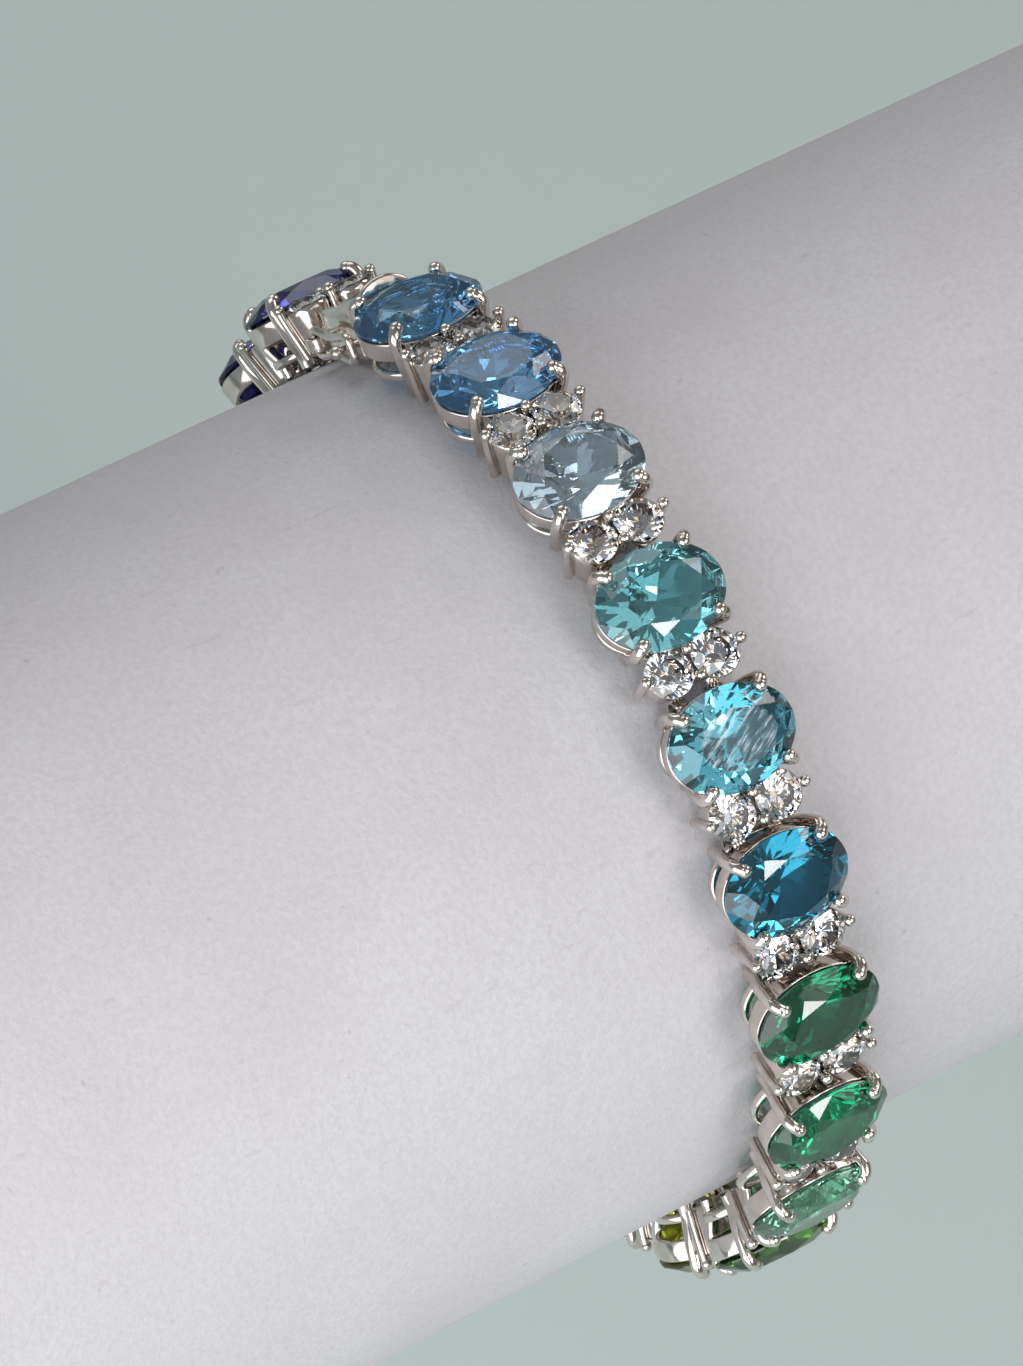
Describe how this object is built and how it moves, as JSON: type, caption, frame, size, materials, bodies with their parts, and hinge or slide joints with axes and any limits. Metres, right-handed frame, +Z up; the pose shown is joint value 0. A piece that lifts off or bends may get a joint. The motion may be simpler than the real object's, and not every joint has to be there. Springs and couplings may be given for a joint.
{
  "type": "tennis bracelet on a display roll",
  "caption": "Hinged bracelet of coloured oval stones and paired small white stones, closed by a box clasp with a safety catch and shown round a plain display roll.",
  "frame": {"origin": "on the roll's axis, in the plane of the bracelet's loop", "axes": "+X along the roll's axis, -Y towards the front of the loop, +Z up"},
  "size_m": [0.116, 0.0644, 0.0648],
  "materials": {
    "silver_links": "polished rhodium-plated silver",
    "silver_clasp": "polished rhodium-plated silver with fine wear",
    "roll_paper": "matte pale grey paper with faint fibres and specks",
    "white_stones": "cut colourless stone",
    "oval_medium_blue": "cut and polished coloured stone",
    "oval_sky_blue": "cut and polished coloured stone",
    "oval_pale_blue": "cut and polished coloured stone",
    "oval_aqua": "cut and polished coloured stone",
    "oval_turquoise": "cut and polished coloured stone",
    "oval_teal": "cut and polished coloured stone",
    "oval_emerald": "cut and polished coloured stone",
    "oval_green": "cut and polished coloured stone",
    "oval_sea_green": "cut and polished coloured stone",
    "oval_dark_green": "cut and polished coloured stone",
    "oval_yellow_green": "cut and polished coloured stone",
    "oval_yellow": "cut and polished coloured stone",
    "oval_amber": "cut and polished coloured stone",
    "oval_orange": "cut and polished coloured stone",
    "oval_red": "cut and polished coloured stone",
    "oval_ruby": "cut and polished coloured stone",
    "oval_pink": "cut and polished coloured stone",
    "oval_purple": "cut and polished coloured stone",
    "oval_violet": "cut and polished coloured stone",
    "oval_indigo": "cut and polished coloured stone",
    "oval_navy": "cut and polished coloured stone"
  },
  "bodies": {
    "bracelet": {"link_01": "silver_links", "link_02": "silver_links", "link_03": "silver_links", "link_04": "silver_links", "link_05": "silver_links", "link_06": "silver_links", "link_07": "silver_links", "link_08": "silver_links", "link_09": "silver_links", "link_10": "silver_links", "link_11": "silver_links", "link_12": "silver_links", "link_13": "silver_links", "link_14": "silver_links", "link_15": "silver_links", "link_16": "silver_links", "link_17": "silver_links", "link_18": "silver_links", "link_19": "silver_links", "link_20": "silver_links", "link_21": "silver_links", "oval_stone_01": "oval_medium_blue", "oval_stone_02": "oval_sky_blue", "oval_stone_03": "oval_pale_blue", "oval_stone_04": "oval_aqua", "oval_stone_05": "oval_turquoise", "oval_stone_06": "oval_teal", "oval_stone_07": "oval_emerald", "oval_stone_08": "oval_green", "oval_stone_09": "oval_sea_green", "oval_stone_10": "oval_dark_green", "oval_stone_11": "oval_yellow_green", "oval_stone_12": "oval_yellow", "oval_stone_13": "oval_amber", "oval_stone_14": "oval_orange", "oval_stone_15": "oval_red", "oval_stone_16": "oval_ruby", "oval_stone_17": "oval_pink", "oval_stone_18": "oval_purple", "oval_stone_19": "oval_violet", "oval_stone_20": "oval_indigo", "oval_stone_21": "oval_navy", "clasp_box": "silver_clasp", "clasp_tongue": "silver_clasp", "display_roll": "roll_paper"},
    "safety_catch": {"safety_catch": "silver_clasp"}
  },
  "joints": [
    {"name": "safety_catch_hinge", "type": "hinge", "parent": "bracelet", "child": "safety_catch", "pos_m": [-0.0034, 0.02056, 0.02038], "axis": [0, -0.6674, -0.7447], "range_deg": [0, 100]}
  ]
}
